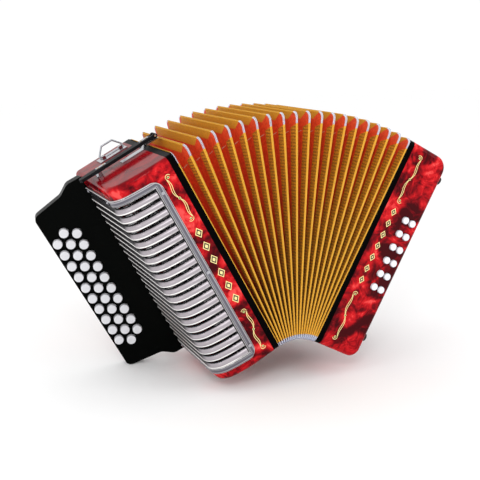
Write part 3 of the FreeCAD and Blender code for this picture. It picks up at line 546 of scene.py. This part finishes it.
def is_rim_edge(point):
    p = in_treble(point)
    return on_rim(p) and standing_out(p) > RIM_EDGE_LOW


def is_ledge(point):
    return standing_out(in_treble(point)) < 0.05


def is_bass_cap(point):
    return in_bass(point).y < -FRONT_DEPTH + BASS_CAP_DEPTH


def is_foot(point):
    p = in_bass(point)
    return p.x > BASS_WIDTH - 0.1 and abs(p.y) > FEET_OUT_FROM_Y


PLAIN_NODES = {
    "treble_casing": RED,
    "bass_casing": BASS_RED,
    "treble_fittings": FITTING_CHROME,
    "treble_reed_pan": INSIDE,
    "bass_reed_pan": WOOD,
    "fingerboard": BLACK,
    "bellows_frame_treble": FRAME_BLACK,
    "bellows_frame_bass": FRAME_BLACK,
    "shoulder_ring_upper": STEEL,
    "shoulder_ring_lower": STEEL,
    "bellows_strap": RIBBED,
    "hand_strap": LEATHER,
}


def paint_nodes():
    for name, mat in PLAIN_NODES.items():
        paint(name, (mat, None))
    for name in NODES:
        if name.startswith("treble_key"):
            paint(name, (PEARL, is_key_cap), (LEVER, None))
        elif name.startswith("bass_key"):
            paint(name, (BASS_PEARL, is_bass_cap), (LEVER, None))
    rim = ((RIM_PAINTED_LINES, is_rim_face), (RIM_EDGE_HIGHLIGHT, is_rim_edge))
    paint("treble_grille", *rim, (LEDGE, is_ledge), (CHROME, None))
    paint("bass_fittings", (RUBBER, is_foot), (STEEL, None))


# ---------------------------------------------------------------- making pieces


def piece(name, points, faces, indices, mats, smooth=True):
    mesh = bpy.data.meshes.new(name)
    mesh.from_pydata([tuple(p) for p in points], [], faces)
    for mat in mats:
        mesh.materials.append(mat)
    for polygon, index in zip(mesh.polygons, indices):
        polygon.material_index = index
        polygon.use_smooth = smooth
    mesh.validate()
    mesh.update()
    made = bpy.data.objects.new(name, mesh)
    bpy.context.collection.objects.link(made)
    return made


# ---------------------------------------------------------------- bellows


def fold_angle(fold):
    """A ridge's angle from the treble frame; the treble side's folds stand a little wider open."""
    return FAN_ANGLE * fold / FOLDS + FAN_BOW * math.sin(math.pi * fold / FOLDS)


def valley_along(radius):
    """Where a point of a side wall's ridge meets the valley: straight in, as far as the mitred corners."""
    low = INNER_RADIUS + FOLD_DEPTH + VALLEY_CHAMFER
    high = OUTER_RADIUS - FOLD_DEPTH - VALLEY_CHAMFER
    return min(max(radius, low), high)


def quarter(radius, y, start, steps=5):
    """The points between the ends of a quarter turn about a corner's centre, as (radius, y)."""
    points = []
    for n in range(1, steps):
        angle = start + (math.pi / 2) * n / steps
        points.append((radius + RIDGE_CORNER * math.sin(angle), y - RIDGE_CORNER * math.cos(angle)))
    return points


def fold_outline():
    """The way round a fold: (ridge point, valley point, kind of the stretch that follows it)."""
    low = INNER_RADIUS + RIDGE_CORNER
    high = OUTER_RADIUS - RIDGE_CORNER
    side = FOLD_HALF_DEPTH - RIDGE_CORNER
    valley_side = FOLD_HALF_DEPTH - FOLD_DEPTH
    valley_low = INNER_RADIUS + FOLD_DEPTH
    valley_high = OUTER_RADIUS - FOLD_DEPTH
    cut = VALLEY_CHAMFER
    outline = []

    def wall(radii, y, valley_y):
        for n, radius in enumerate(radii[:-1]):
            middle = (radius + radii[n + 1]) / 2
            capped = middle < low + LEVEL_CAP or middle > high - WALL_CAP
            outline.append(((radius, y), (valley_along(radius), valley_y), "cap" if capped else "tape"))

    def corner(start_point, points, valley_start, valley_end):
        count = len(points) + 1
        for n, point in enumerate([start_point] + points):
            part = n / count
            v = tuple(a + part * (b - a) for a, b in zip(valley_start, valley_end))
            outline.append((point, v, "cap"))

    def level(radius, valley_radius, ys, kind):
        for n, y in enumerate(ys[:-1]):
            middle = abs(y + ys[n + 1]) / 2
            valley_y = y * (valley_side - cut) / side
            capped = middle > side - LEVEL_CAP
            outline.append(((radius, y), (valley_radius, valley_y), "cap" if capped else kind))

    mitred = (valley_along(low), *SEGMENTS[1:-1], valley_along(high))
    rising = [low, low + LEVEL_CAP, *mitred, high - WALL_CAP, high]
    across = [-side, -side + LEVEL_CAP, -LEVEL_STATION, 0.0, LEVEL_STATION, side - LEVEL_CAP, side]
    wall(rising, -FOLD_HALF_DEPTH, -valley_side)
    start = (high, -FOLD_HALF_DEPTH)
    points = quarter(high, -side, 0)
    corner(start, points, (valley_high - cut, -valley_side), (valley_high, -valley_side + cut))
    level(OUTER_RADIUS, valley_high, across, "top")
    start = (OUTER_RADIUS, side)
    points = quarter(high, side, math.pi / 2)
    corner(start, points, (valley_high, valley_side - cut), (valley_high - cut, valley_side))
    wall(rising[::-1], FOLD_HALF_DEPTH, valley_side)
    start = (low, FOLD_HALF_DEPTH)
    points = quarter(low, side, math.pi)
    corner(start, points, (valley_low + cut, valley_side), (valley_low, valley_side - cut))
    level(INNER_RADIUS, valley_low, across[::-1], "leather")
    start = (INNER_RADIUS, -side)
    points = quarter(low, -side, 3 * math.pi / 2)
    corner(start, points, (valley_low, -valley_side + cut), (valley_low + cut, -valley_side))
    return outline


FOLD_MATERIALS = (EDGE, CORNER_STEEL_SHEEN, TAPE, CARD, TAN, TOP_TAPE, GUSSET)
BAND_MATERIALS = {
    "edge": {"cap": CORNER_STEEL_SHEEN, "tape": EDGE, "leather": TAN, "top": TOP_TAPE},
    "tape": {"cap": CARD, "tape": TAPE, "leather": TAN, "top": TOP_TAPE},
    "card": {"cap": CARD, "tape": CARD, "leather": CARD, "top": CARD},
}


def flank_point(fold, side, ridge, valley, inset, thick):
    """A point of a flank: inset from the ridge towards the valley, and off the flank's middle by thick."""
    part = inset / FOLD_DEPTH
    radius = ridge[0] + part * (valley[0] - ridge[0])
    y = FOLD_CENTRE_Y + ridge[1] + part * (valley[1] - ridge[1])
    angle = fold_angle(fold)
    angle += part * (fold_angle(fold + side / 2) - angle)
    return fan(angle, side * thick, radius, y)


def gusset_line(fold, side, wall):
    """The four corners of the pale fold line that slants down a flank below its steel corner."""
    corners = []
    for width, order in ((0.0, 1), (GUSSET_WIDTH, -1)):
        stretch = []
        for inset, drop in zip(GUSSET_INSET, GUSSET_DROP):
            radius = OUTER_RADIUS - RIDGE_CORNER - drop - width
            valley = (valley_along(radius), wall * (FOLD_HALF_DEPTH - FOLD_DEPTH))
            ridge = (radius, wall * FOLD_HALF_DEPTH)
            stretch.append(flank_point(fold, side, ridge, valley, inset, GUSSET_STAND_OFF))
        corners += stretch[::order]
    return corners


def fold_piece(name, fold, sides, outline, low, high):
    """The stretch of one fold between two radii, with its crown and the flanks on the given sides."""
    points = []
    faces = []
    indices = []
    count = len(outline)
    outermost = high == OUTER_RADIUS

    def at(n, side, inset, thick):
        ridge, valley = outline[n % count][:2]
        return flank_point(fold, side, ridge, valley, inset, thick)

    def quad(corners, mat):
        start = len(points)
        points.extend(corners)
        faces.append((start, start + 1, start + 2, start + 3))
        indices.append(FOLD_MATERIALS.index(mat))

    for n in range(count):
        kind = outline[n][2]
        middle = (outline[n][0][0] + outline[(n + 1) % count][0][0]) / 2
        if middle < low or (middle >= high and not outermost):
            continue
        for side in sides:
            for m in range(len(CROWN) - 1):
                a = at(n, side, *CROWN[m])
                b = at(n + 1, side, *CROWN[m])
                c = at(n + 1, side, *CROWN[m + 1])
                d = at(n, side, *CROWN[m + 1])
                quad((a, b, c, d) if side < 0 else (d, c, b, a), BAND_MATERIALS[CROWN_BANDS[m]][kind])
        left = CROWN[0][1] if -1 in sides else 0.0
        right = CROWN[0][1] if 1 in sides else 0.0
        corners = (at(n, -1, 0, left), at(n, 1, 0, right), at(n + 1, 1, 0, right), at(n + 1, -1, 0, left))
        quad(corners[::-1], BAND_MATERIALS["edge"][kind])
    if outermost:
        for side in sides:
            for wall in (-1, 1):
                corners = gusset_line(fold, side, wall)
                quad(corners if side * wall > 0 else corners[::-1], GUSSET)
    made = piece(name, points, faces, indices, FOLD_MATERIALS)
    weld(made)
    return made


def weld(made):
    """Joins the points that neighbouring faces share."""
    work = bmesh.new()
    work.from_mesh(made.data)
    bmesh.ops.remove_doubles(work, verts=work.verts, dist=1e-6)
    work.to_mesh(made.data)
    work.free()


def bend(made):
    """Bakes a piece's placement into its mesh."""
    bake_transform(made)


def bellows():
    """Both halves of the bellows; the first and last fold of each half have only their inner flank."""
    outline = fold_outline()
    middle = fold_angle(MIDDLE_FOLD)
    rest = FAN_ANGLE - middle
    treble_folds = range(0, MIDDLE_FOLD + 1)
    bass_folds = range(MIDDLE_FOLD, FOLDS + 1)
    halves = (
        ("t", ("treble_end", "bellows_middle"), 0.0, middle, treble_folds, "bellows_half_treble"),
        ("b", ("bellows_middle", "bass_end"), middle, rest, bass_folds, "bellows_half_bass"),
    )
    for letter, bodies, start, span, folds, stands_for in halves:
        for fold in folds:
            sides = (-1, 1)
            if fold == folds[0]:
                sides = (1,)
            if fold == folds[-1]:
                sides = (-1,)
            for n, (low, high) in enumerate(zip(SEGMENTS, SEGMENTS[1:])):
                made = fold_piece(f"fold_{fold:02d}_{letter}_{n + 1}", fold, sides, outline, low, high)
                bend(made)
                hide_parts(stands_for)
                if fold == MIDDLE_FOLD:
                    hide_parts("bellows_middle_fold")


# ---------------------------------------------------------------- ornaments


def ribbon(points, width, lift, put):
    """A flat line along points (a, b) of a face, standing up by lift; put(a, b, height) places a point."""
    verts = []
    faces = []
    count = len(points)
    for n in range(count):
        before = Vector(points[max(n - 1, 0)])
        after = Vector(points[min(n + 1, count - 1)])
        along = (after - before).normalized()
        aside = Vector((-along.y, along.x)) * width / 2
        here = Vector(points[n])
        for height in (0.0, lift):
            for way in (-1, 1):
                p = here + aside * way
                verts.append(put(p.x, p.y, height))
    for n in range(count - 1):
        a = 4 * n
        b = a + 4
        faces += [(a + 2, a + 3, b + 3, b + 2), (a, a + 2, b + 2, b), (a + 3, a + 1, b + 1, b + 3)]
    faces += [(0, 1, 3, 2), (4 * count - 4, 4 * count - 2, 4 * count - 1, 4 * count - 3)]
    return verts, faces


def raised(ring, lift, put):
    """A flat-topped shape standing on a ring of points of a face."""
    sides = len(ring)
    verts = [put(x, y, 0.0) for x, y in ring] + [put(x, y, lift) for x, y in ring]
    faces = [tuple(range(sides, 2 * sides))]
    for n in range(sides):
        m = (n + 1) % sides
        faces.append((n, m, sides + m, sides + n))
    return verts, faces


def disc(a, b, radius, lift, put, sides=16):
    turns = [2 * math.pi * n / sides for n in range(sides)]
    return raised([(a + radius * math.cos(turn), b + radius * math.sin(turn)) for turn in turns], lift, put)


def lozenge(a, b, wide, tall, lift, put):
    return raised([(a - wide / 2, b), (a, b - tall / 2), (a + wide / 2, b), (a, b + tall / 2)], lift, put)


def slab(a, b, wide, tall, lift, put):
    x, y = wide / 2, tall / 2
    return raised([(a - x, b - y), (a + x, b - y), (a + x, b + y), (a - x, b + y)], lift, put)


class Ornament:
    """Gathers flat shapes on one face into one piece."""

    def __init__(self, name, body, put):
        self.name = name
        self.body = body
        self.put = put
        self.verts = []
        self.faces = []
        self.indices = []

    def add(self, shape, index):
        verts, faces = shape
        start = len(self.verts)
        self.verts += verts
        for face in faces:
            self.faces.append(tuple(start + k for k in face))
            self.indices.append(index)

    def dot(self, a, z, radius):
        self.add(disc(a, z, radius, 0.2, self.put), 0)
        self.add(disc(a, z, radius - DOT_RING, 0.26, self.put), 1)

    def vine(self, a, low, high, lean):
        """Two fine lines that cross as they go up between three dots, and hook round the end dots."""
        steps = 48
        for way in (-1, 1):
            line = []
            for n in range(steps + 1):
                part = n / steps
                x = -lean * VINE_HOOK * math.cos(math.pi * part)
                x += lean * VINE_SWING * math.sin(4 * math.pi * part)
                x += way * VINE_GAP * math.sin(2 * math.pi * part)
                line.append((a + x, low + part * (high - low)))
            self.add(ribbon(line, VINE_WIDTH, LINE_LIFT, self.put), 0)
        for z, way in ((low, -1), (high, 1)):
            hook = []
            for n in range(13):
                turn = n / 12 * 0.85 * math.pi
                x = lean * way * VINE_HOOK * math.cos(turn)
                hook.append((a + x, z + way * VINE_HOOK * math.sin(turn)))
            self.add(ribbon(hook, VINE_WIDTH, LINE_LIFT, self.put), 0)
            self.dot(a, z, VINE_DOT)
        self.dot(a, (low + high) / 2, VINE_DOT)

    def lozenges(self, a, low, high, count, wide, tall):
        for n in range(count):
            z = low + (high - low) * n / (count - 1)
            for narrower, shorter, lift, index in LOZENGE_LAYERS:
                self.add(lozenge(a, z, wide - narrower, tall - shorter, lift, self.put), index)

    def finish(self, mats):
        made = piece(self.name, self.verts, self.faces, self.indices, mats, smooth=False)
        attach(made, self.body)
        return made


def ornaments():
    strip = Ornament("treble_ornament", "treble_end", lambda x, z, up: treble(x, -FRONT_DEPTH - up, z))
    strip.vine(-10.5, 227.0, 288.0, -1)
    strip.vine(-10.5, 18.0, 77.0, 1)
    strip.lozenges(-11.0, 100.0, 205.0, 6, 11.0, 15.0)
    strip.finish((GOLD, GREEN, INK))
    front = Ornament("bass_ornament", "bass_end", lambda x, z, up: bass(x, -FRONT_DEPTH - up, z))
    front.vine(17.0, 228.0, 293.0, 1)
    front.vine(17.0, 18.0, 84.0, -1)
    front.lozenges(16.0, 106.0, 210.0, 7, 9.0, 12.0)
    front.finish((GOLD, GREEN, INK))


def strap_plates():
    """The riveted steel plates on top of the closing strap's two ends."""
    top = Ornament("strap_plates", "bellows_strap", lambda x, y, up: treble(x, y, STRAP_TOP + up))
    for x, long in STRAP_PLATES:
        top.add(slab(x, STRAP_Y, long, PLATE_WIDTH, PLATE_LIFT, top.put), 0)
        for way in (-1, 1):
            top.add(disc(x + way * 0.28 * long, STRAP_Y, RIVET_RADIUS, RIVET_LIFT, top.put), 1)
    top.finish((FITTING_CHROME, RIVET))


# ---------------------------------------------------------------- stage


def floor():
    bpy.ops.mesh.primitive_plane_add(size=12, location=(0, 0, 0))
    made = bpy.context.object
    made.name = "floor"
    made.data.materials.append(material("floor_white", (0.97, 0.97, 0.97), 1.0))


def area_light(name, place, aim, size, power):
    data = bpy.data.lights.new(name, "AREA")
    data.shape = "DISK"
    data.size = size
    data.energy = power
    made = bpy.data.objects.new(name, data)
    made.location = place
    made.rotation_euler = (Vector(aim) - Vector(place)).to_track_quat("-Z", "Y").to_euler()
    bpy.context.collection.objects.link(made)


def studio():
    world = bpy.data.worlds.new("studio")
    bpy.context.scene.world = world
    world.use_nodes = True
    back = world.node_tree.nodes["Background"]
    back.inputs["Color"].default_value = (1, 1, 1, 1)
    back.inputs["Strength"].default_value = 1.03
    centre = (0, 0, 0.18)
    area_light("key", (-0.8, -1.5, 1.3), centre, 0.6, 8)
    area_light("side", (1.3, -1.1, 0.8), centre, 0.6, 3)
    area_light("left", (-1.5, -0.7, 0.5), centre, 0.5, 2)
    bpy.context.scene.view_settings.view_transform = "Standard"


def camera():
    data = bpy.data.cameras.new("camera")
    data.sensor_fit = "HORIZONTAL"
    data.angle = math.radians(CAMERA_ANGLE)
    made = bpy.data.objects.new("camera", data)
    bpy.context.collection.objects.link(made)
    origin = treble(0, 0, 0)

    def direction(x, y, z):
        return (treble(x, y, z) - origin).normalized()

    axes = (direction(*CAMERA_RIGHT), direction(*CAMERA_UP), -direction(*CAMERA_AHEAD))
    turned = Matrix(axes).transposed()
    made.matrix_world = Matrix.Translation(treble(*CAMERA_PLACE)) @ turned.to_4x4()
    bpy.context.scene.camera = made


paint_nodes()
bellows()
ornaments()
strap_plates()
floor()
studio()
camera()
